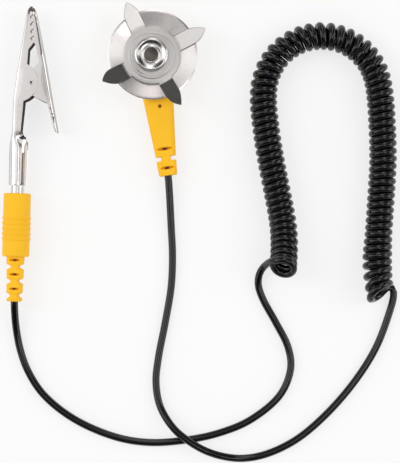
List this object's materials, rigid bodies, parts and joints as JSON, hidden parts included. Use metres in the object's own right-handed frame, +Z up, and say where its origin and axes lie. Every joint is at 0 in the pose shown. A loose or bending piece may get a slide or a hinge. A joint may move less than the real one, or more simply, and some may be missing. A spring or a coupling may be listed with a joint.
{
  "type": "esd ground cord",
  "caption": "Coiled bench ground cord with a crocodile clip on a banana plug at one end and a press-stud snap with a clawed mat disc at the other.",
  "frame": {"origin": "on the press stud's axis, at the flat underside of the moulded snap head, which lies on the table", "axes": "+Z up from the table through the snap's axis; +Y towards the arch of the curly cord; +X from the clip towards the curly cord"},
  "size_m": [0.1203, 0.1397, 0.0121],
  "materials": {
    "yellow_moulding": "satin yellow moulded plastic",
    "black_cord": "smooth glossy black polyurethane jacket",
    "nickel_plate": "bright nickel plate on pressed steel",
    "bright_steel": "polished bright steel",
    "spring_steel": "plain spring wire and strip",
    "tinned_copper": "tinned copper",
    "resistor_enamel": "tan enamel"
  },
  "bodies": {
    "cord_set": {"snap_housing": "yellow_moulding", "snap_socket": "nickel_plate", "socket_terminal": "tinned_copper", "resistor_body": "resistor_enamel", "resistor_lead_front": "tinned_copper", "resistor_lead_rear": "tinned_copper", "splice_sleeve": "tinned_copper", "conductor_snap_end": "tinned_copper", "cord_lead_snap": "black_cord", "curly_cord": "black_cord", "cord_lead_plug": "black_cord", "conductor_plug_end": "tinned_copper", "plug_body": "yellow_moulding", "plug_pin": "nickel_plate"},
    "plug_spring": {"pin_spring_cage": "spring_steel"},
    "clip": {"clip_fixed_jaw": "nickel_plate", "clip_rivet": "bright_steel", "clip_spring": "spring_steel"},
    "clip_lever": {"clip_lever_jaw": "nickel_plate"},
    "snap_ring": {"snap_ring_spring": "spring_steel"},
    "mat_stud": {"snap_stud": "nickel_plate", "stud_eyelet": "bright_steel", "claw_plate": "bright_steel", "mat_disc": "bright_steel"}
  },
  "joints": [
    {"name": "cage_turn", "type": "hinge", "parent": "cord_set", "child": "plug_spring", "pos_m": [-0.04029, -0.03299, 0.00435], "axis": [0.0279, 0.9996, 0], "continuous": true},
    {"name": "clip_pull_off", "type": "slide", "parent": "plug_spring", "child": "clip", "axis": [0.0279, 0.9996, 0], "range_m": [0, 0.0145]},
    {"name": "jaw_hinge", "type": "hinge", "parent": "clip", "child": "clip_lever", "pos_m": [-0.036, -0.0083, 0.00435], "axis": [0, 0, -1], "range_deg": [0, 28], "stiffness_Nm_per_rad": 0.05, "springref_deg": -68.75, "deforming": ["clip_spring"]},
    {"name": "ring_turn", "type": "hinge", "parent": "cord_set", "child": "snap_ring", "pos_m": [0, 0, 0.0049], "axis": [0, 0, 1], "continuous": true},
    {"name": "stud_pull_off", "type": "slide", "parent": "snap_ring", "child": "mat_stud", "axis": [0, 0, 1], "range_m": [0, 0.006]}
  ]
}
